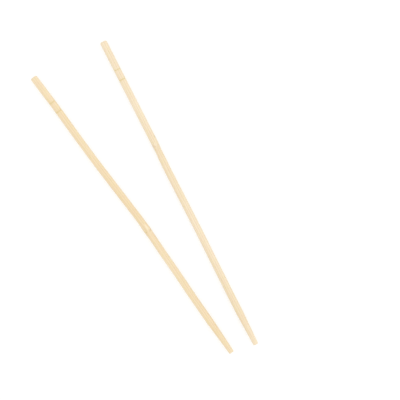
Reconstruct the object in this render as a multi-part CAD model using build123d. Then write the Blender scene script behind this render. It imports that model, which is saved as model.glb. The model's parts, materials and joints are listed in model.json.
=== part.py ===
from build123d import *

import os
from math import asin, atan2, degrees, radians

# A pair of disposable bamboo chopsticks, laid on a table side by side in a narrow V.
# Millimetres and degrees. +Z is up and the table is z = 0. The handle ends point to +Y and the
# tips to -Y. Each stick is one piece of bamboo, turned round, so each is one solid.

# Driving dimensions of a stick. Distances along it are measured from its handle end.
STICK_LENGTH = 228.6
SHANK_DIAMETER = 4.8
TIP_DIAMETER = 3.4
TAPER_LENGTH = 24.8
HANDLE_EDGE_RADIUS = 0.9
TIP_EDGE_RADIUS = 0.25

# The two rings turned into the handle end.
FIRST_RING = 21.3
RING_PITCH = 7.4
RING_COUNT = 2
RING_WIDTH = 1.2
RING_DEPTH = 0.15

# Bamboo is never quite straight. A bend is (its place, its turn): the place is a share of the
# plain shank, from the handle end to the taper, and the turn is anticlockwise from above.
# The cane also turns a little just before and just after its node, where a leaf branched off.
BEND_SPAN = 8.0
NODE_LENGTH = 8.5
LEFT_NODE, LEFT_NODE_TURNS = 0.626, (-1.8, -1.7)
LEFT_BENDS = [(0.353, 1.15), (0.903, 0.9)]
RIGHT_NODE, RIGHT_NODE_TURNS = 0.427, (-1.6, 1.9)
RIGHT_BENDS = [(0.687, -0.8), (0.93, 0.6)]

# The left stick's node was left proud of the shank, and the right one was turned flush.
LEFT_NODE_SWELLING = 0.16

# The lay of the pair: how far apart the ends' centres are, and how far the left stick leads.
HANDLE_SPREAD = 52.6
TIP_SPREAD = 16.8
LEAD = 3.8

SHANK_RADIUS = SHANK_DIAMETER / 2
TIP_RADIUS = TIP_DIAMETER / 2
SHANK_LENGTH = STICK_LENGTH - TAPER_LENGTH


def centre_line(node, node_turns, bends):
    """The middle of the plain round shank, from the handle end at the origin towards -Y."""
    beside_node = (NODE_LENGTH + BEND_SPAN) / 2
    turns = [(share * SHANK_LENGTH, turn) for share, turn in bends]
    turns.append((node * SHANK_LENGTH - beside_node, node_turns[0]))
    turns.append((node * SHANK_LENGTH + beside_node, node_turns[1]))
    edges, start, heading, reached = [], Vector(0, 0), Vector(0, -1), 0
    for middle, turn in sorted(turns):
        run = Line(start, start + heading * (middle - BEND_SPAN / 2 - reached))
        arc = JernArc(run @ 1, heading, BEND_SPAN / radians(abs(turn)), turn)
        edges += [run.edge(), arc.edge()]
        start, heading, reached = arc @ 1, arc % 1, middle + BEND_SPAN / 2
    edges.append(Line(start, start + heading * (SHANK_LENGTH - reached)).edge())
    return Wire(edges)


def station(line, distance):
    """The plane square across a centre line at a distance from the handle end."""
    share = distance / SHANK_LENGTH
    return Plane(origin=line @ share, x_dir=(0, 0, 1), z_dir=line % share)


def ring_cutter():
    """A doughnut about its own Z that leaves a shallow round-bottomed groove in the shank."""
    groove_radius = (RING_WIDTH**2 / 4 + RING_DEPTH**2) / (2 * RING_DEPTH)
    return Torus(SHANK_RADIUS - RING_DEPTH + groove_radius, groove_radius)


def barrel(swelling):
    """A barrel about its own Z whose waist stands proud of the shank and whose ends dive in."""
    half, waist, end = NODE_LENGTH / 2, SHANK_RADIUS + swelling, SHANK_RADIUS - swelling
    side = ThreePointArc((end, -half), (waist, 0), (end, half))
    rest = Polyline((end, half), (0, half), (0, -half), (end, -half))
    return revolve(Plane.XZ * make_face([side, rest]), Axis.Z)


def chopstick(node, node_turns, bends, swelling=0):
    """One stick with its handle end at the origin, and the centre of its tip."""
    line = centre_line(node, node_turns, bends)
    shank = sweep(station(line, 0) * Circle(SHANK_RADIUS), path=line)
    stick = shank + station(line, SHANK_LENGTH) * Cone(
        SHANK_RADIUS, TIP_RADIUS, TAPER_LENGTH, align=(Align.CENTER, Align.CENTER, Align.MIN)
    )
    if swelling:
        stick += station(line, node * SHANK_LENGTH) * barrel(swelling)
    for index in range(RING_COUNT):
        stick -= station(line, FIRST_RING + index * RING_PITCH) * ring_cutter()
    for end, radius in ((-1, HANDLE_EDGE_RADIUS), (0, TIP_EDGE_RADIUS)):
        flat = stick.faces().filter_by(GeomType.PLANE).sort_by(Axis.Y)[end]
        stick = fillet(flat.edges(), radius)
    return stick, line @ 1 + line % 1 * TAPER_LENGTH


def lay_down(stick, tip, side):
    """Puts a stick on the table, with side -1 for the left one and 1 for the right one."""
    lean = -side * degrees(asin((HANDLE_SPREAD - TIP_SPREAD) / 2 / tip.length))
    turn = lean - degrees(atan2(tip.X, -tip.Y))
    laid = Pos(side * HANDLE_SPREAD / 2, -side * LEAD / 2) * Rot(Z=turn) * stick
    return Pos(Z=-laid.bounding_box().min.Z) * laid


left = chopstick(LEFT_NODE, LEFT_NODE_TURNS, LEFT_BENDS, LEFT_NODE_SWELLING)
right = chopstick(RIGHT_NODE, RIGHT_NODE_TURNS, RIGHT_BENDS)
pair = {"left_chopstick": lay_down(*left, side=-1), "right_chopstick": lay_down(*right, side=1)}

# The origin is on the table under the middle of the pair.
middle = Compound([stick.solid() for stick in pair.values()]).bounding_box().center()
os.makedirs("parts", exist_ok=True)
for name, stick in pair.items():
    placed = Pos(-middle.X, -middle.Y) * stick.solid()
    export_step(placed, f"parts/{name}.step")
    flats = placed.faces().filter_by(GeomType.PLANE).sort_by(Axis.Y)
    print(f"{name}: {placed.volume:.1f} mm3, box {placed.bounding_box().size}")
    for end, flat in (("handle", flats[-1]), ("tip", flats[0])):
        print(f"  {end} end at {flat.center()} facing {flat.normal_at()}")
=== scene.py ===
# %% [markdown]
# # A pair of bamboo chopsticks
# Two disposable chopsticks lie side by side on a white table, in a narrow V. Each is one piece of
# bamboo, turned round on a lathe, with two rings near its handle end and a short taper at its tip.
# The imported CAD model holds their true size and place, and this script gives them their looks:
# the small unevenness that real cane keeps, its grain, its node, and the burnished rings, whose
# colour also paints in the shade of their grooves.
# The first step loads that model. Everything here is in metres, in the same frame.

# %% Load the CAD model
import json
import math

import bpy
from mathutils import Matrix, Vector


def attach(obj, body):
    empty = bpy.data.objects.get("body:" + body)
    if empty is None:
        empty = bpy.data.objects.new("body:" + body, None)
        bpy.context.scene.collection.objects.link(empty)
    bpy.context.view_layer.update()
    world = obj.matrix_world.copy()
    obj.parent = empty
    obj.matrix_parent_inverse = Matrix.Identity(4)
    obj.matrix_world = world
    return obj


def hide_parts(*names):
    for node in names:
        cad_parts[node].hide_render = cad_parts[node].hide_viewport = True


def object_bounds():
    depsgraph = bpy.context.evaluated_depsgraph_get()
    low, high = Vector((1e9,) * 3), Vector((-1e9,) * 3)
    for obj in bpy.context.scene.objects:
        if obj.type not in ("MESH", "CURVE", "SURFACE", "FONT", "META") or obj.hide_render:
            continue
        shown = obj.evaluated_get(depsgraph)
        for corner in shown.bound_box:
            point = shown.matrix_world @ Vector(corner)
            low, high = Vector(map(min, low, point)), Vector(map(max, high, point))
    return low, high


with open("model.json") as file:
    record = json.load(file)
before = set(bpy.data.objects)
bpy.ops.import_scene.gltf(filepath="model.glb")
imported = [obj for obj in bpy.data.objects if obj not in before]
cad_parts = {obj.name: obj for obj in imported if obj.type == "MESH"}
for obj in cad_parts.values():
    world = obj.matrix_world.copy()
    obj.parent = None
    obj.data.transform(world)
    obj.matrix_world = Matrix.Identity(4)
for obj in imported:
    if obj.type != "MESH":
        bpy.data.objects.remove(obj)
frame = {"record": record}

CAD_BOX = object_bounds()
MM = 0.001
print("CAD box in mm:", [[round(v / MM, 2) for v in corner] for corner in CAD_BOX])

# %% [markdown]
# ## The camera
# Thin things on a table look their true length only from straight above, and a long lens keeps
# both sticks free of perspective. So the camera hangs high over the table and looks down. It is
# turned, so that the sticks run from the top left to the bottom right, and it is moved off their
# middle, which leaves one side of the picture empty. Blender's cameras look along their own -Z,
# so a camera that looks straight down only needs a turn about Z.

# %% Camera
VIEW_WIDTH = 270 * MM
VIEW_HEIGHT = 1.6
VIEW_TURN = math.radians(-31.29)
VIEW_SHIFT = Vector((26.70, -13.09)) * MM
SENSOR = 36

middle = (CAD_BOX[0] + CAD_BOX[1]) / 2
camera = bpy.data.objects.new("camera", bpy.data.cameras.new("camera"))
camera.data.sensor_width = SENSOR
camera.data.lens = SENSOR * VIEW_HEIGHT / VIEW_WIDTH
camera.location = (middle.x + VIEW_SHIFT.x, middle.y + VIEW_SHIFT.y, VIEW_HEIGHT)
camera.rotation_euler = (0, 0, VIEW_TURN)
bpy.context.collection.objects.link(camera)
bpy.context.scene.camera = camera
print("lens in mm:", round(camera.data.lens, 1))

# %% [markdown]
# ## Helpers for node trees
# Shapes and finishes are both made of nodes here, and a node tree written out call by call is hard
# to read. These helpers make one node each and join it at once: a value that is another node's
# output becomes a link, and a plain value is set on the socket. They work in both kinds of tree.
# The last ones are for patterns. Noise has lumps of one size in all directions, so wood grain
# comes from reading it at coordinates that are stretched along the grain.

# %% Node helpers
def fill(tree, socket, value):
    """Links a socket to another node's output, or sets it to a plain value."""
    if isinstance(value, bpy.types.NodeSocket):
        tree.links.new(value, socket)
    else:
        socket.default_value = value


def add(tree, kind, inputs=None, **settings):
    """Adds a node, with its settings first, because some of them change its sockets."""
    node = tree.nodes.new(kind)
    for name, value in settings.items():
        setattr(node, name, value)
    for key, value in (inputs or {}).items():
        fill(tree, node.inputs[key], value)
    return node


def calc(tree, operation, *values):
    """The result of one Math node."""
    return add(tree, "ShaderNodeMath", dict(enumerate(values)), operation=operation).outputs[0]


def vector(tree, operation, *values):
    """The result of one Vector Math node."""
    inputs = dict(enumerate(values))
    return add(tree, "ShaderNodeVectorMath", inputs, operation=operation).outputs[0]


def scaled(tree, arrow, scale):
    """A vector made longer or shorter by a number."""
    inputs = {0: arrow, "Scale": scale}
    return add(tree, "ShaderNodeVectorMath", inputs, operation="SCALE").outputs[0]


def combine(tree, x, y, z=0.0):
    """A vector from its three numbers."""
    return add(tree, "ShaderNodeCombineXYZ", {0: x, 1: y, 2: z}).outputs[0]


def fade(tree, value, start, end, low=0.0, high=1.0):
    """Goes smoothly from low to high as the value goes from start to end."""
    inputs = {0: value, 1: start, 2: end, 3: low, 4: high}
    return add(tree, "ShaderNodeMapRange", inputs, interpolation_type="SMOOTHSTEP").outputs[0]


def ridge(tree, value, place, half_width):
    """A smooth ridge: 1 where the value is at its place, and 0 from half its width away."""
    away = calc(tree, "ABSOLUTE", calc(tree, "SUBTRACT", value, place))
    return fade(tree, away, 0.0, half_width, 1.0, 0.0)


def stretched(tree, where, across, along, seed):
    """Coordinates in which a feature this wide and this long measures about 1 unit."""
    shrunk = vector(tree, "DIVIDE", where, combine(tree, across, along, across))
    return vector(tree, "ADD", shrunk, combine(tree, seed, seed, seed))


def cloud(tree, where, detail):
    """The value of a Noise texture, about 0.5 on average, with features about 1 unit across."""
    inputs = {"Vector": where, "Scale": 1.0, "Detail": detail}
    return add(tree, "ShaderNodeTexNoise", inputs).outputs[0]


# %% [markdown]
# ## The cane's own bends
# Bamboo is never quite straight. Each stick keeps a few gentle bends, and near its node, where a
# leaf once branched off, it turns a little just before and just after. Blender could follow a
# Bezier curve with handles set by eye, but then nothing would tie the curve to the CAD model. The
# bends are written down instead as places, in shares of the plain shank, and turns, in degrees.
# The centre line is added up from them later, starting at the mount that the record gives for the
# handle end. The cane also strays a fifth of a millimetre to one side here and there: each stray
# is a place, half its length, and how far it goes.

# %% Sizes of a stick
STICK_LENGTH = 228.6 * MM
SHANK_RADIUS = 2.4 * MM
TIP_RADIUS = 1.7 * MM
TAPER_LENGTH = 24.8 * MM
SHANK_LENGTH = STICK_LENGTH - TAPER_LENGTH
HANDLE_EDGE = 0.9 * MM
TIP_EDGE = 0.25 * MM
RINGS = (21.3 * MM, 28.7 * MM)
RING_WIDTH = 1.2 * MM
RING_DEPTH = 0.15 * MM
BEND_SPAN = 8.0 * MM
NODE_LENGTH = 8.5 * MM

STICKS = {
    "left": {
        "node": 0.626,
        "node_turns": (-1.8, -1.7),
        "bends": [(0.353, 1.15), (0.903, 0.9)],
        "strays": [(26 * MM, 26 * MM, 0.25 * MM), (142 * MM, 24 * MM, -0.2 * MM)],
        "swelling": 0.16 * MM,
        "neck": 0.0,
        "scar": 129.3 * MM,
        "seed": 3.0,
    },
    "right": {
        "node": 0.427,
        "node_turns": (-1.6, 1.9),
        "bends": [(0.687, -0.8), (0.93, 0.6)],
        "strays": [(100 * MM, 45 * MM, 0.09 * MM)],
        "swelling": 0.0,
        "neck": 0.17 * MM,
        "scar": 79.0 * MM,
        "seed": 11.0,
    },
}


def turns(stick):
    """(distance along, turn in degrees) of each place where the cane bends."""
    node = stick["node"] * SHANK_LENGTH
    beside = (NODE_LENGTH + BEND_SPAN) / 2
    first, second = stick["node_turns"]
    listed = [(share * SHANK_LENGTH, turn) for share, turn in stick["bends"]]
    return listed + [(node - beside, first), (node + beside, second)]


for side, stick in STICKS.items():
    print(side, "stick bends at", [(round(s / MM, 1), turn) for s, turn in sorted(turns(stick))])

# %% [markdown]
# ## The outline
# On a lathe, a shape is an outline: how thick the work is at each distance from its end. The same
# idea gives the whole stick here, cut ends included, as rows of (distance, radius). A long plain
# stretch needs few rows, but a ring, a node or a rounded edge needs many, so the step is chosen
# from what is near. A turned groove and the swelling at a node are both a shallow arc, so one
# formula, `bow`, serves both: one takes it away from the radius and the other adds it.

# %% Outline of a stick
LONG_STEP = 0.5 * MM
SHORT_STEP = 0.1 * MM
EDGE_STEPS = 7
END_STEPS = 12
END_CROWN = 0.03 * MM
NECK_PLACE = 83 * MM
NECK_LENGTH = 14 * MM


def bow(offset, width, rise):
    """Height of a shallow circular arc of this width and rise, at an offset from its middle."""
    if rise == 0 or abs(offset) >= width / 2:
        return 0.0
    radius = (width**2 / 4 + rise**2) / (2 * rise)
    return math.sqrt(radius**2 - offset**2) - (radius - rise)


def hump(offset, half_length):
    """A smooth hump: 1 at its middle, and 0 from half its length away."""
    share = min(abs(offset) / half_length, 1.0)
    return math.cos(math.pi / 2 * share) ** 2


def groove(s):
    """How deep the turned rings go at a distance s along the stick."""
    return sum(bow(s - ring, RING_WIDTH, RING_DEPTH) for ring in RINGS)


def radius_at(stick, s):
    """The stick's radius at a distance s from its handle end."""
    taper = max(0.0, s - SHANK_LENGTH) / TAPER_LENGTH
    plain = SHANK_RADIUS + (TIP_RADIUS - SHANK_RADIUS) * taper
    swelling = bow(s - stick["node"] * SHANK_LENGTH, NODE_LENGTH, stick["swelling"])
    neck = stick["neck"] * hump(s - NECK_PLACE, NECK_LENGTH / 2)
    return plain + swelling - neck - groove(s)


def cut_end(radius, edge):
    """Rows of a cut end, from its middle out and round its edge: (distance in, radius, cut)."""
    flat = radius - edge
    for k in range(END_STEPS):
        share = k / END_STEPS
        yield share**2 * END_CROWN, flat * share, 1.0
    for k in range(EDGE_STEPS):
        angle = math.pi / 2 * k / EDGE_STEPS
        inward = END_CROWN + (edge - END_CROWN) * (1 - math.cos(angle))
        yield inward, flat + edge * math.sin(angle), math.cos(angle)


def outline(stick):
    """(distance, radius, how far it belongs to a cut end) of each row of the skin, end to end."""
    busy = [(ring, RING_WIDTH) for ring in RINGS] + [(stick["scar"], NODE_LENGTH)]
    rows = list(cut_end(SHANK_RADIUS, HANDLE_EDGE))
    s, last = HANDLE_EDGE, STICK_LENGTH - TIP_EDGE
    while s < last:
        rows.append((s, radius_at(stick, s), 0.0))
        near = any(abs(s - place) < width for place, width in busy)
        s += SHORT_STEP if near else LONG_STEP
    rows.append((last, radius_at(stick, last), 0.0))
    tip = list(cut_end(TIP_RADIUS, TIP_EDGE))
    return rows + [(STICK_LENGTH - inward, radius, cut) for inward, radius, cut in tip[::-1]]


for side, stick in STICKS.items():
    print(side, "stick has", len(outline(stick)), "rows")

# %% [markdown]
# ## The wire
# Geometry Nodes need something to sweep along. That is a wire: a mesh of points and edges with no
# faces, one point for each row of the outline. Each point carries what the row knows, as named
# attributes: how far along the stick it lies, how thick the stick is there, whether it belongs to a
# cut end, and a soft band round each ring, which reaches a little past the ring itself. The band
# marks where the tool rubbed the wood, and the finish also uses it to paint in the groove's shade.
# Attributes travel through the tree with the geometry, so the finish can read them later.

# %% Lay the wires
MOUNTS = {mount["name"]: mount for mount in frame["record"]["mounts"]}
BURNISH_AND_SHADE_HALF = 1.25 * MM


def heading(stick, start, s):
    """The direction of the centre line at a distance s, as an angle from +X."""
    turned = 0.0
    for place, turn in turns(stick):
        turned += turn * min(max((s - place) / BEND_SPAN + 0.5, 0.0), 1.0)
    return start + math.radians(turned)


def stray(stick, s):
    """How far the cane strays towards +X at a distance s along it."""
    return sum(offset * hump(s - place, half) for place, half, offset in stick["strays"])


def lay_wire(side, stick):
    """Makes a stick's centre line as a wire mesh, with a named attribute for each size."""
    mount = MOUNTS[side + "_handle_end"]
    axis = Vector(mount["axis"])
    start = math.atan2(-axis.y, -axis.x)
    rows = outline(stick)
    spot, reached, points = Vector(mount["pos_m"]), 0.0, []
    for s, _, _ in rows:
        angle = heading(stick, start, (s + reached) / 2)
        spot = spot + Vector((math.cos(angle), math.sin(angle), 0)) * (s - reached)
        points.append(spot + Vector((-math.sin(angle), math.cos(angle), 0)) * stray(stick, s))
        reached = s
    mesh = bpy.data.meshes.new(side + "_stick")
    mesh.from_pydata(points, [(k, k + 1) for k in range(len(points) - 1)], [])
    known = {
        "along": [s for s, _, _ in rows],
        "stick_radius": [radius for _, radius, _ in rows],
        "cut": [cut for _, _, cut in rows],
        # The band round each ring carries both the burnish and the grooves' painted shade.
        "burnish_and_groove_shade": [sum(hump(s - ring, BURNISH_AND_SHADE_HALF) for ring in RINGS) for s, _, _ in rows],
    }
    for name, values in known.items():
        mesh.attributes.new(name, "FLOAT", "POINT").data.foreach_set("value", values)
    return mesh


wires = {side: lay_wire(side, stick) for side, stick in STICKS.items()}
for side, wire in wires.items():
    tip = wire.vertices[-1].co / MM
    print(side, "tip at", [round(v, 2) for v in tip], "mm")

# %% [markdown]
# ## A turned stick
# A round stick could be a cylinder that is bent and then sculpted, but a tree of Geometry Nodes
# states the rule of its shape: a circle is swept along the wire, as wide as each row says. The
# tree then stores `grain` on each point, which is where that bit of wood lay in a straight stick:
# across, along, up. Every pattern is read there, so it follows the bends, and on the cut ends it
# shows the same fibres end on. This step writes those two parts of the tree.

# %% Sweep the skin
CIRCLE_RADIUS = 1.0


def read(tree, name, kind="FLOAT"):
    """A named attribute, read inside a Geometry Nodes tree."""
    return add(tree, "GeometryNodeInputNamedAttribute", {"Name": name}, data_type=kind).outputs[0]


def store(tree, geometry, name, value, kind="FLOAT"):
    """The geometry, with a value kept on each of its points under a name."""
    inputs = {"Geometry": geometry, "Name": name, "Value": value}
    settings = {"data_type": kind, "domain": "POINT"}
    return add(tree, "GeometryNodeStoreNamedAttribute", inputs, **settings).outputs[0]


def sweep(tree, wire, faces_round):
    """The skin: a circle swept along the wire. Each point keeps its wire point and its turn."""
    line = add(tree, "GeometryNodeMeshToCurve", {"Mesh": wire}).outputs[0]
    line = add(tree, "GeometryNodeSetCurveNormal", {"Curve": line}, mode="Z_UP").outputs[0]
    position = add(tree, "GeometryNodeInputPosition").outputs[0]
    line = store(tree, line, "spine", position, "FLOAT_VECTOR")
    inputs = {"Resolution": faces_round, "Radius": CIRCLE_RADIUS}
    circle = add(tree, "GeometryNodeCurvePrimitiveCircle", inputs).outputs[0]
    turned = add(tree, "GeometryNodeSplineParameter").outputs[0]
    circle = store(tree, circle, "around", turned)
    inputs = {"Curve": line, "Profile Curve": circle, "Scale": read(tree, "stick_radius")}
    return add(tree, "GeometryNodeCurveToMesh", inputs).outputs[0]


def mark_grain(tree, skin):
    """Stores where each point lay in a straight stick."""
    angle = calc(tree, "MULTIPLY_ADD", read(tree, "around"), math.tau, math.pi)
    radius = read(tree, "stick_radius")
    across = calc(tree, "MULTIPLY", radius, calc(tree, "COSINE", angle))
    up = calc(tree, "MULTIPLY", radius, calc(tree, "SINE", angle))
    grain = combine(tree, across, read(tree, "along"), up)
    return store(tree, skin, "grain", grain, "FLOAT_VECTOR")


# %% [markdown]
# ## The cane's unevenness
# However well it was turned, cane isn't a perfect rod. Its fibres stand a few hundredths of a
# millimetre proud of the pith, soft lumps run along it, and a wavy crease crosses it at the node.
# Bump in the finish would look the same from above, but the outline would stay ruled, so the skin
# itself is pressed towards the wire. All of it goes inwards: a stick is never thicker than its CAD
# solid. The points that meet at the middle of each cut end are then merged, which closes the
# skin, and the tree ends by making it real geometry with a material.

# %% Tree of a turned stick
TREE_INPUTS = {
    "Faces Round": ("NodeSocketInt", 112),
    "Fibre Width": ("NodeSocketFloat", 0.45 * MM),
    "Fibre Length": ("NodeSocketFloat", 38 * MM),
    "Fibre Relief": ("NodeSocketFloat", 0.03 * MM),
    "Lump Width": ("NodeSocketFloat", 3 * SHANK_RADIUS),
    "Lump Length": ("NodeSocketFloat", 17 * MM),
    "Lump Relief": ("NodeSocketFloat", 0.05 * MM),
    "Crease Place": ("NodeSocketFloat", 0.0),
    "Crease Width": ("NodeSocketFloat", 0.7 * MM),
    "Crease Wave": ("NodeSocketFloat", 1.6 * MM),
    "Crease Depth": ("NodeSocketFloat", 0.07 * MM),
    "Seed": ("NodeSocketFloat", 0.0),
    "Finish": ("NodeSocketMaterial", None),
}
WAVE_LENGTH = 3 * NODE_LENGTH
NOISE_MEAN = 0.5
MERGE_DISTANCE = 0.001 * MM


def press_in(tree, given, skin):
    """Presses the skin towards the wire by its fibres, its lumps and the crease at the node."""
    grain, seed = read(tree, "grain", "FLOAT_VECTOR"), given["Seed"]
    size = given["Fibre Width"], given["Fibre Length"]
    fibres = cloud(tree, stretched(tree, grain, *size, seed), detail=3.0)
    size = given["Lump Width"], given["Lump Length"]
    lumps = cloud(tree, stretched(tree, grain, *size, seed), detail=1.0)
    wave = cloud(tree, stretched(tree, grain, SHANK_RADIUS, WAVE_LENGTH, seed), detail=3.0)
    wave = calc(tree, "MULTIPLY", calc(tree, "SUBTRACT", wave, NOISE_MEAN), given["Crease Wave"])
    from_scar = calc(tree, "ADD", read(tree, "along"), wave)
    from_scar = calc(tree, "SUBTRACT", from_scar, given["Crease Place"])
    skin = store(tree, skin, "from_scar", from_scar)
    crease = ridge(tree, from_scar, 0.0, calc(tree, "MULTIPLY", given["Crease Width"], 0.5))
    pressed = calc(tree, "MULTIPLY", fibres, given["Fibre Relief"])
    pressed = calc(tree, "MULTIPLY_ADD", lumps, given["Lump Relief"], pressed)
    pressed = calc(tree, "MULTIPLY_ADD", crease, given["Crease Depth"], pressed)
    share = calc(tree, "SUBTRACT", 1.0, calc(tree, "DIVIDE", pressed, SHANK_RADIUS))
    spine = read(tree, "spine", "FLOAT_VECTOR")
    position = add(tree, "GeometryNodeInputPosition").outputs[0]
    arm = scaled(tree, vector(tree, "SUBTRACT", position, spine), share)
    inputs = {"Geometry": skin, "Position": vector(tree, "ADD", spine, arm)}
    return add(tree, "GeometryNodeSetPosition", inputs).outputs[0]


def turned_stick_tree():
    """The tree that turns a wire into a stick, with a named input for each size."""
    tree = bpy.data.node_groups.new("turned_stick", "GeometryNodeTree")
    tree.interface.new_socket("Wire", in_out="INPUT", socket_type="NodeSocketGeometry")
    tree.interface.new_socket("Stick", in_out="OUTPUT", socket_type="NodeSocketGeometry")
    for name, (kind, value) in TREE_INPUTS.items():
        socket = tree.interface.new_socket(name, in_out="INPUT", socket_type=kind)
        if value is not None:
            socket.default_value = value
    given = add(tree, "NodeGroupInput").outputs
    skin = sweep(tree, given["Wire"], given["Faces Round"])
    skin = press_in(tree, given, mark_grain(tree, skin))
    last_steps = (
        ("GeometryNodeMergeByDistance", {"Distance": MERGE_DISTANCE}),
        ("GeometryNodeSetShadeSmooth", {"Shade Smooth": True}),
        ("GeometryNodeRealizeInstances", {}),
        ("GeometryNodeSetMaterial", {"Material": given["Finish"]}),
    )
    for kind, inputs in last_steps:
        skin = add(tree, kind, {"Geometry": skin, **inputs}).outputs[0]
    add(tree, "NodeGroupOutput", {"Stick": skin})
    return tree


STICK_TREE = turned_stick_tree()
print("tree inputs:", ", ".join(TREE_INPUTS))

# %% [markdown]
# ## The bamboo
# Bamboo is grass. It has no rings like timber, but strands: bundles of tough brown fibre that run
# the length of the cane through paler, softer pith. On a turned stick they show as fine streaks
# along the side and as dots on the cut ends. An image wrapped round the stick would show one or
# the other. A solid pattern shows both, because the skin cuts through it as the tool cut the cane.
# The finish is built up like glazes on a pot, each laid over the last where a mask says. First
# come its colours and the glaze itself. Lengths in its patterns are in millimetres.

# %% Colours and glazes
STRAND = (0.50, 0.33, 0.16, 1)
BROWN = (0.36, 0.22, 0.09, 1)
BLUSH = (0.80, 0.57, 0.42, 1)
STRAW = (0.74, 0.63, 0.30, 1)
# The next colour is burnished cane, and also painted shade and bounced light in the ring grooves.
BURNISH_AND_SHADE_GOLD = (0.70, 0.57, 0.21, 1)
CREAM = (0.86, 0.76, 0.58, 1)


def glaze(tree, under, over, mask, share=1.0):
    """One colour with another laid over it where a mask says, at most by this share."""
    inputs = {0: calc(tree, "MULTIPLY", mask, share), 6: under, 7: over}
    return add(tree, "ShaderNodeMix", inputs, data_type="RGBA").outputs[2]


def carried(tree, name, output="Fac"):
    """What the skin carries under a name, read inside a finish."""
    return add(tree, "ShaderNodeAttribute", attribute_name=name).outputs[output]


def read_cane(tree):
    """Where each bit of wood lies, and how it was worked."""
    where = vector(tree, "DIVIDE", carried(tree, "grain", "Vector"), (MM, MM, MM))
    parts = add(tree, "ShaderNodeSeparateXYZ", {0: where}).outputs
    return {
        "where": where,
        "across": parts[0],
        "along": parts[1],
        "up": parts[2],
        "from_scar": calc(tree, "DIVIDE", carried(tree, "from_scar"), MM),
        "cut": carried(tree, "cut"),
        "burnish_and_groove_shade": carried(tree, "burnish_and_groove_shade"),
    }


print("the finish reads: grain, from_scar, cut, burnish")

# %% [markdown]
# ## The pith
# The ground colour of cane is never even. It drifts slowly between a pale and a golden straw along
# its length, and up close it is mottled with pinker and greener patches a few millimetres long. A
# Color Ramp along the stick holds the slow drift as a row of stops, and Noise stretched along the
# cane gives the rest. Noise rarely leaves NOISE_RANGE, so the drift spreads that range out over its
# own. The short patterns each add a number of their own to the stick's seed, so that their patches
# don't fall in the same places.

# %% Ground colour
NOISE_RANGE = (0.3, 0.7)
DRIFT_WIDTH, DRIFT_LENGTH, DRIFT = 1.6, 22.0, 0.2
MOTTLE_WIDTH, MOTTLE_LENGTH, MOTTLE = 1.2, 3.4, 0.34
MOTTLE_SEED = 3
BLUSH_RANGE = (0.45, 0.75)
STRAW_RANGE = (0.5, 0.25)


def tone_along(tree, along, tones):
    """How golden the cane is at a distance along it, from tones given at shares of its length."""
    ramp = add(tree, "ShaderNodeValToRGB", {0: calc(tree, "DIVIDE", along, STICK_LENGTH / MM)})
    stops = ramp.color_ramp.elements
    stops.remove(stops[-1])
    for place, tone in tones:
        stops.new(place).color = (tone, tone, tone, 1)
    stops.remove(stops[0])
    return ramp.outputs[0]


def pith(tree, cane, pale, golden, tones, seed):
    """The ground colour of one stick."""
    place = stretched(tree, cane["where"], DRIFT_WIDTH, DRIFT_LENGTH, seed)
    drift = fade(tree, cloud(tree, place, detail=3.0), *NOISE_RANGE, -DRIFT, DRIFT)
    tone = calc(tree, "ADD", tone_along(tree, cane["along"], tones), drift)
    colour = glaze(tree, pale, golden, tone)
    place = stretched(tree, cane["where"], MOTTLE_WIDTH, MOTTLE_LENGTH, seed + MOTTLE_SEED)
    mottle = cloud(tree, place, detail=2.0)
    colour = glaze(tree, colour, BLUSH, fade(tree, mottle, *BLUSH_RANGE, 0.0, MOTTLE))
    return glaze(tree, colour, STRAW, fade(tree, mottle, *STRAW_RANGE, 0.0, MOTTLE))


print("mottled patches are about", MOTTLE_WIDTH, "by", MOTTLE_LENGTH, "mm")

# %% [markdown]
# ## The strands
# A cut cane shows a field of dots, each one the end of a strand. That is a Voronoi texture in two
# dimensions: it looks only at the place across the cane, so each dot runs on lengthwise as a
# strand, as in real bamboo. Noise sways the strands a little along the way, and more beside the
# node, where real ones weave through each other. They also crowd closer on one side, as they do
# towards the outside of the cane that the stick was split from. Each strand has a darker vein in
# its middle. Both are faint along the side and much plainer where they are cut across, so each
# has two shares: one for the side and one for the cut ends.

# %% Strands
STRAND_SPACING = 0.58
STRAND_REACH = (0.36, 0.24)
STRAND_STRENGTH = (0.4, 1.0)
STRAND_SHARES = (0.2, 0.62)
VEIN_REACH = (0.15, 0.07)
VEIN_SHARES = (0.22, 0.5)
CROWDING = 0.07
SWAY_WIDTH, SWAY_LENGTH = 2.6, 42.0
SWAY, SWAY_AT_SCAR = 0.5, 1.1
SCAR_REACH = 5.0


def strands_at(tree, cane, seed):
    """(distance to the nearest strand, a number of its own), with strands along the cane."""
    place = stretched(tree, cane["where"], SWAY_WIDTH, SWAY_LENGTH, seed)
    inputs = {"Vector": place, "Scale": 1.0, "Detail": 1.0}
    sway = add(tree, "ShaderNodeTexNoise", inputs).outputs["Color"]
    sway = vector(tree, "SUBTRACT", sway, (NOISE_MEAN, NOISE_MEAN, NOISE_MEAN))
    away = calc(tree, "ABSOLUTE", cane["from_scar"])
    sway = scaled(tree, sway, fade(tree, away, 0.0, SCAR_REACH, SWAY_AT_SCAR, SWAY))
    swayed = vector(tree, "ADD", cane["where"], sway)
    swayed = add(tree, "ShaderNodeSeparateXYZ", {0: swayed}).outputs
    crowd = calc(tree, "MULTIPLY_ADD", swayed[0], CROWDING, 1.0)
    flat = scaled(tree, combine(tree, swayed[0], swayed[2]), crowd)
    inputs = {"Vector": flat, "Scale": 1 / STRAND_SPACING}
    cells = add(tree, "ShaderNodeTexVoronoi", inputs, voronoi_dimensions="2D").outputs
    own = add(tree, "ShaderNodeSeparateColor", {0: cells["Color"]}).outputs[0]
    return cells["Distance"], own


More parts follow.
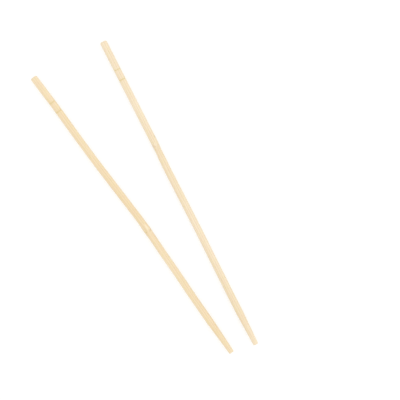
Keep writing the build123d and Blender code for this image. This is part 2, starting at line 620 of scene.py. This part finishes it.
def lay_strands(tree, cane, colour, seed):
    """(colour, strands): the strands and their veins laid over the pith, and the strands' mask."""
    reach, own = strands_at(tree, cane, seed)
    strength = fade(tree, own, 0.0, 1.0, *STRAND_STRENGTH)
    strands = calc(tree, "MULTIPLY", fade(tree, reach, *STRAND_REACH), strength)
    share = fade(tree, cane["cut"], 0.0, 1.0, *STRAND_SHARES)
    colour = glaze(tree, colour, STRAND, strands, share)
    share = fade(tree, cane["cut"], 0.0, 1.0, *VEIN_SHARES)
    return glaze(tree, colour, BROWN, fade(tree, reach, *VEIN_REACH), share), strands


print("a stick is about", round(2 * SHANK_RADIUS / MM / STRAND_SPACING), "strands wide")

# %% [markdown]
# ## Fibres and pores
# Between the strands, the wood is made of fibres as fine as hair, and here and there the tool
# opened a pore, which holds a little dirt. Both are Noise stretched along the cane: the fibres use
# its whole range, and the pores only its rare peaks, so they are few and short.

# %% Fibres and pores
FIBRE_WIDTH, FIBRE_LENGTH, FIBRE_SHARE = 0.10, 11.0, 0.12
FIBRE_RANGE = (0.35, 0.7)
PORE_WIDTH, PORE_LENGTH, PORE_SHARE = 0.13, 2.8, 0.35
PORE_PEAKS = (0.75, 0.82)
PORE_SEED = 5


def lay_fibres(tree, cane, colour, seed):
    """(colour, fibres, pores): the fibres and pores laid over the strands, and their masks."""
    place = stretched(tree, cane["where"], FIBRE_WIDTH, FIBRE_LENGTH, seed)
    fibres = cloud(tree, place, detail=2.0)
    colour = glaze(tree, colour, STRAND, fade(tree, fibres, *FIBRE_RANGE, 0.0, FIBRE_SHARE))
    place = stretched(tree, cane["where"], PORE_WIDTH, PORE_LENGTH, seed + PORE_SEED)
    pores = fade(tree, cloud(tree, place, detail=1.0), *PORE_PEAKS)
    return glaze(tree, colour, BROWN, pores, PORE_SHARE), fibres, pores


print("fibres are about", FIBRE_WIDTH, "mm wide, and pores", PORE_LENGTH, "mm long")

# %% [markdown]
# ## The scar of the node
# At a node, a wall once closed the cane inside and a leaf sat outside. The lathe cuts through
# both, which leaves a broken dark line across the stick, a faint halo, and pale and dark spots
# where wood that ran at a slant was cut. A brush in Texture Paint could dab these on, but then
# they would be an image. Here each spot is an oval with a place, a size and a share, measured from
# the line, which itself follows the crease in the skin. The fibres make the ovals' rims ragged.

# %% Scar of the node
LINE_HALF, LINE_GAP_HALF = 0.5, 1.3
BREAK_WIDTH, BREAK_LENGTH, BREAK_SEED = 0.9, 5.0, 7
BREAK_RANGE, FAINTEST = (0.35, 0.6), 0.1
HALO_PLACE, HALO_HALF, HALO_SHARE = 0.5, 4.5, 0.1
OVAL_RIM, RAGGED = (1.6, 0.3), 0.5
TOP_SIDE = (0.0, 0.6)


def ovals(tree, cane, ragged, listed):
    """A mask of ovals: (place from the line, place across, half length, half width, share)."""
    mask = 0.0
    for place, offset, half_length, half_width, share in listed:
        x = calc(tree, "DIVIDE", calc(tree, "SUBTRACT", cane["from_scar"], place), half_length)
        y = calc(tree, "DIVIDE", calc(tree, "SUBTRACT", cane["across"], offset), half_width)
        far = calc(tree, "ADD", calc(tree, "MULTIPLY", x, x), calc(tree, "MULTIPLY", y, y))
        oval = fade(tree, calc(tree, "ADD", far, ragged), *OVAL_RIM, 0.0, share)
        mask = calc(tree, "ADD", mask, oval)
    return calc(tree, "MULTIPLY", mask, fade(tree, cane["up"], *TOP_SIDE))


def lay_scar(tree, cane, colour, fibres, scar, seed):
    """The spots, the broken line and its halo laid over the fibres."""
    ragged = fade(tree, fibres, *NOISE_RANGE, -RAGGED, RAGGED)
    colour = glaze(tree, colour, CREAM, ovals(tree, cane, ragged, scar["pale"]))
    colour = glaze(tree, colour, BROWN, ovals(tree, cane, ragged, scar["dark"]))
    place = stretched(tree, cane["where"], BREAK_WIDTH, BREAK_LENGTH, seed + BREAK_SEED)
    broken = fade(tree, cloud(tree, place, detail=2.0), *BREAK_RANGE, FAINTEST, 1.0)
    gap = ridge(tree, cane["across"], scar["gap"], LINE_GAP_HALF)
    broken = calc(tree, "MULTIPLY", broken, calc(tree, "SUBTRACT", 1.0, gap))
    line = calc(tree, "MULTIPLY", ridge(tree, cane["from_scar"], 0.0, LINE_HALF), broken)
    colour = glaze(tree, colour, BROWN, line, scar["line"])
    halo = ridge(tree, cane["from_scar"], HALO_PLACE, HALO_HALF)
    halo = calc(tree, "MULTIPLY", halo, broken)
    return glaze(tree, colour, STRAND, halo, HALO_SHARE)


print("scars lie at", {side: round(stick["scar"] / MM, 1) for side, stick in STICKS.items()})

# %% [markdown]
# ## Rings and cut ends
# The rings were rubbed as well as cut: the edge of the tool heats the wood, which turns golden and
# a little shiny there. The gold is also painted shade: it stands in for the shade and warm bounced
# light inside each groove. A thin brown core lies in its middle, partly a scorch line and partly
# painted shade at the bottom of the groove. The skin carries a wide, soft mask for the band. A
# slow Noise round the stick keeps the band from being equally strong everywhere. The cut ends are a
# shade darker than the sides, as open end grain is.

# %% Rings and cut ends
BAND_WIDTH, BAND_LENGTH, BAND_SEED = 1.8, 6.0, 9
BAND_RANGE, BAND_SHARES = (0.35, 0.65), (0.28, 0.45)
CORE_RANGE, CORE_SHARE = (0.7, 1.0), 0.16
CUT_SHARE = 0.12


def lay_rings(tree, cane, colour, seed):
    """The burnished rings with their grooves' painted shade, and the darker cut ends, laid over
    all.
    """
    place = stretched(tree, cane["where"], BAND_WIDTH, BAND_LENGTH, seed + BAND_SEED)
    gold_share = fade(tree, cloud(tree, place, detail=1.0), *BAND_RANGE, *BAND_SHARES)
    # Burnish and painted shade: the gold band stands in partly for the groove's shade and bounce.
    colour = glaze(tree, colour, BURNISH_AND_SHADE_GOLD, cane["burnish_and_groove_shade"], gold_share)
    # Painted shade: the brown core is partly a scorch line, partly the groove's bottom in shade.
    scorch_and_shade_core = fade(tree, cane["burnish_and_groove_shade"], *CORE_RANGE, 0.0, CORE_SHARE)
    colour = glaze(tree, colour, BROWN, scorch_and_shade_core)
    return glaze(tree, colour, STRAND, cane["cut"], CUT_SHARE)


print("rings lie at", [round(ring / MM, 1) for ring in RINGS], "mm from the handle end")

# %% [markdown]
# ## The finish of each stick
# All the layers come together in one Principled shader. Bare turned bamboo is satin: the fibres
# make its gloss uneven, the burnished rings shine a little more, and the cut ends less. A fine
# Bump lets strands and fibres catch the light, and lets the pores sink in. The two sticks came
# from different canes, so each has its own pale and golden straw, its own drift of tone and its
# own scar. The right one is paler, and its node was nearly turned away.

# %% Bamboo finish
ROUGH_LOW, ROUGH_HIGH = 0.52, 0.66
ROUGH_CUT, SMOOTH_RING = 0.15, 0.12
GLOSS = 0.2
GRAIN_RELIEF, RELIEF_STRENGTH = 0.05 * MM, 0.6
STRAND_HEIGHT = 0.5


def bamboo(name, pale, golden, tones, scar, seed):
    """A finish for one stick, made of layers from the ground colour up."""
    material = bpy.data.materials.new(name)
    material.use_nodes = True
    tree = material.node_tree
    tree.nodes.clear()
    cane = read_cane(tree)

    colour = pith(tree, cane, (*pale, 1), (*golden, 1), tones, seed)
    colour, strands = lay_strands(tree, cane, colour, seed)
    colour, fibres, pores = lay_fibres(tree, cane, colour, seed)
    colour = lay_scar(tree, cane, colour, fibres, scar, seed)
    colour = lay_rings(tree, cane, colour, seed)

    rough = fade(tree, fibres, *NOISE_RANGE, ROUGH_LOW, ROUGH_HIGH)
    rough = calc(tree, "ADD", rough, calc(tree, "MULTIPLY", cane["cut"], ROUGH_CUT))
    rough = calc(tree, "SUBTRACT", rough, calc(tree, "MULTIPLY", cane["burnish_and_groove_shade"], SMOOTH_RING))
    height = calc(tree, "MULTIPLY_ADD", strands, STRAND_HEIGHT, fibres)
    height = calc(tree, "SUBTRACT", height, pores)
    inputs = {"Strength": RELIEF_STRENGTH, "Distance": GRAIN_RELIEF, "Height": height}
    bump = add(tree, "ShaderNodeBump", inputs)
    inputs = {
        "Base Color": colour,
        "Roughness": rough,
        "Specular IOR Level": GLOSS,
        "Normal": bump.outputs[0],
    }
    shader = add(tree, "ShaderNodeBsdfPrincipled", inputs)
    add(tree, "ShaderNodeOutputMaterial", {"Surface": shader.outputs[0]})
    return material


FINISHES = {
    "left": bamboo(
        "left_cane",
        pale=(0.812, 0.687, 0.478),
        golden=(0.772, 0.617, 0.382),
        tones=[
            (0.0, 0.0), (0.1, 0.45), (0.3, 0.4), (0.5, 0.7), (0.6, 0.5),
            (0.68, 0.2), (0.82, 0.4), (0.92, 0.6), (1.0, 0.2),
        ],
        scar={
            "pale": [(-2.4, 0.8, 2.7, 0.75, 0.55), (1.9, 1.7, 1.0, 0.5, 0.4)],
            "dark": [
                (0.9, 1.1, 0.45, 0.35, 0.12),
                (3.2, 2.0, 0.4, 0.3, 0.15),
                (-2.6, -0.5, 2.4, 0.5, 0.08),
            ],
            "gap": 0.2,
            "line": 0.28,
        },
        seed=STICKS["left"]["seed"],
    ),
    "right": bamboo(
        "right_cane",
        pale=(0.82, 0.711, 0.535),
        golden=(0.78, 0.657, 0.454),
        tones=[
            (0.0, 0.2), (0.13, 0.5), (0.22, 0.0), (0.36, 0.8), (0.48, 0.7),
            (0.6, 0.25), (0.8, 0.6), (0.92, 1.0), (1.0, 0.2),
        ],
        scar={
            "pale": [(-1.3, 0.1, 1.2, 0.8, 0.3)],
            "dark": [(-6.4, 1.9, 0.9, 0.5, 0.16), (-1.0, -1.9, 1.6, 0.5, 0.09)],
            "gap": 0.3,
            "line": 0.16,
        },
        seed=STICKS["right"]["seed"],
    ),
}
for finish in FINISHES.values():
    print(finish.name, "has", len(finish.node_tree.nodes), "nodes")

# %% [markdown]
# ## Turn the sticks
# The tree runs as a modifier on each wire. A modifier's inputs are set by the socket's identifier,
# before the object is first evaluated. `new_from_object` then turns the result into a plain mesh,
# with its named attributes, and the modifier goes, so that nothing is left to work out later.

# %% Make both sticks
def turn_stick(side, stick):
    """Runs the tree on a stick's wire and keeps the result as a plain mesh."""
    piece = bpy.data.objects.new(side + "_stick", wires[side])
    bpy.context.collection.objects.link(piece)
    modifier = piece.modifiers.new("turned_stick", "NODES")
    modifier.node_group = STICK_TREE
    wanted = {
        "Crease Place": stick["scar"],
        "Seed": stick["seed"],
        "Finish": FINISHES[side],
    }
    for item in STICK_TREE.interface.items_tree:
        if item.in_out == "INPUT" and item.name in wanted:
            modifier[item.identifier] = wanted[item.name]
    graph = bpy.context.evaluated_depsgraph_get()
    result = piece.evaluated_get(graph)
    mesh = bpy.data.meshes.new_from_object(result, preserve_all_data_layers=True, depsgraph=graph)
    piece.modifiers.clear()
    piece.data = mesh
    mesh.name = piece.name
    return piece


pieces = {side: turn_stick(side, stick) for side, stick in STICKS.items()}
for piece in pieces.values():
    triangles = sum(len(face.vertices) - 2 for face in piece.data.polygons)
    size = [round(v / MM, 2) for v in piece.dimensions]
    print(piece.name, triangles, "triangles, size in mm", size)

# %% [markdown]
# ## A flat sheet for each skin
# The finish is a solid pattern and needs no UV map. Other programs want pictures, though, and an
# exporter paints them through a map. Blender could unwrap a stick by itself, but it would lay out
# strips as long as the stick, and most of a square picture would stay empty. So the skin is
# unrolled like a label, cut into eight lengths, and laid out in two rows, at one scale. The two
# cut ends are flat already, and they go above the rows. A face that closes the circle has corners
# at both ends of the turn, so the low ones count as one turn further on.

# %% Lay the skins out flat
SHEET = "OFBake"
LENGTHS, COLUMNS = 8, 4
CUT_LENGTH = STICK_LENGTH / LENGTHS
ROUND = math.tau * SHANK_RADIUS
GAP = 0.9 * MM
SHEET_SIZE = LENGTHS // COLUMNS * (CUT_LENGTH + GAP) + 2 * SHANK_RADIUS + GAP
FLAT_ENOUGH = 0.7
HALF_TURN = 0.5


def on_side(turns_round, places):
    """Where corners on the stick's side lie on the sheet."""
    if max(turns_round) - min(turns_round) > HALF_TURN:
        turns_round = [share + (share < HALF_TURN) for share in turns_round]
    number = int(min(place.y for place in places) / CUT_LENGTH)
    row, column = divmod(number, COLUMNS)
    left = column * (ROUND + GAP)
    low = row * (CUT_LENGTH + GAP) - number * CUT_LENGTH
    return [(left + share * ROUND, low + place.y) for share, place in zip(turns_round, places)]


def on_end(places):
    """Where corners on a cut end lie on the sheet."""
    left = SHANK_RADIUS + (places[0].y > SHANK_LENGTH) * (2 * SHANK_RADIUS + GAP)
    return [(left + place.x, SHEET_SIZE - SHANK_RADIUS + place.z) for place in places]


def lay_flat(mesh):
    """Gives a stick's mesh a UV map with its skin laid out on a square sheet."""
    sheet = mesh.uv_layers.new(name=SHEET).uv
    around, cut, grain = (mesh.attributes[name].data for name in ("around", "cut", "grain"))
    for face in mesh.polygons:
        points = [mesh.loops[k].vertex_index for k in face.loop_indices]
        places = [grain[p].vector for p in points]
        if sum(cut[p].value for p in points) > FLAT_ENOUGH * len(points):
            spots = on_end(places)
        else:
            spots = on_side([around[p].value for p in points], places)
        for k, spot in zip(face.loop_indices, spots):
            sheet[k].vector = Vector(spot) / SHEET_SIZE


for piece in pieces.values():
    lay_flat(piece.data)
    spots = piece.data.uv_layers[SHEET].uv
    reach = [max(spot.vector[k] for spot in spots) for k in range(2)]
    print(piece.name, "reaches", [round(v, 3) for v in reach], "of its sheet")

# %% [markdown]
# ## The table
# The sticks lie on a plain white table. It could be lit until it is pure white, but light far past
# white spills over a thin thing's edges in the picture and makes it thinner still. A light box
# shows another way: this table is a middling grey that glows a little by itself. Together that
# comes out just white, and the glow clears the shade where a stick touches the table.

# %% Table
TABLE_HALF = 4.0
TABLE_GREY = 0.47
TABLE_GLOW = 0.50
TABLE_ROUGHNESS = 0.7
WHITE = (1, 1, 1, 1)
CORNERS = [(-1, -1), (1, -1), (1, 1), (-1, 1)]

floor_mesh = bpy.data.meshes.new("table")
spots = [(x * TABLE_HALF, y * TABLE_HALF, CAD_BOX[0].z) for x, y in CORNERS]
floor_mesh.from_pydata(spots, [], [(0, 1, 2, 3)])
floor = bpy.data.objects.new("table", floor_mesh)
bpy.context.collection.objects.link(floor)
white = bpy.data.materials.new("white_table")
white.use_nodes = True
surface = white.node_tree.nodes["Principled BSDF"].inputs
surface["Base Color"].default_value = (TABLE_GREY, TABLE_GREY, TABLE_GREY, 1)
surface["Roughness"].default_value = TABLE_ROUGHNESS
surface["Emission Color"].default_value = WHITE
surface["Emission Strength"].default_value = TABLE_GLOW
floor_mesh.materials.append(white)
print("table is", 2 * TABLE_HALF, "m wide")

# %% [markdown]
# ## The light
# A white sky all round gives the even, almost shadowless light of a light tent, in which pale wood
# keeps its colour. On its own it would leave the sticks as flat as paper. One weak, wide lamp, up
# to the right of the sticks, models their roundness. The Standard view transform shows colours as
# they are set, where Blender's usual one would turn a white table grey.

# %% Light
SKY = 1.16
LAMP_FROM = Vector((0.80, 0.20, 0.75))
LAMP_SIZE = 0.6
LAMP_POWER = 1.0

world = bpy.data.worlds.new("tent")
bpy.context.scene.world = world
world.use_nodes = True
sky = world.node_tree.nodes["Background"].inputs
sky["Color"].default_value = WHITE
sky["Strength"].default_value = SKY

lamp = bpy.data.objects.new("lamp", bpy.data.lights.new("lamp", "AREA"))
lamp.data.size = LAMP_SIZE
lamp.data.energy = LAMP_POWER
lamp.location = middle + LAMP_FROM
lamp.rotation_mode = "QUATERNION"
lamp.rotation_quaternion = LAMP_FROM.to_track_quat("Z", "Y")
lamp.visible_camera = False
bpy.context.collection.objects.link(lamp)
bpy.context.scene.view_settings.view_transform = "Standard"
print("lamp at", [round(v, 2) for v in lamp.location], "m")

# %% [markdown]
# ## Join the sticks to the CAD model
# The sticks now have their looks, and the CAD model has their weight and their collision shapes.
# The two could be matched up by hand after an export, but a few calls say it here: each stick
# rides on the one body, `root`, and stands for the CAD solid of its own side, which is then hidden.

# %% Join the sticks to the CAD model
for side, piece in pieces.items():
    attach(piece, "root")
    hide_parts(side + "_chopstick")
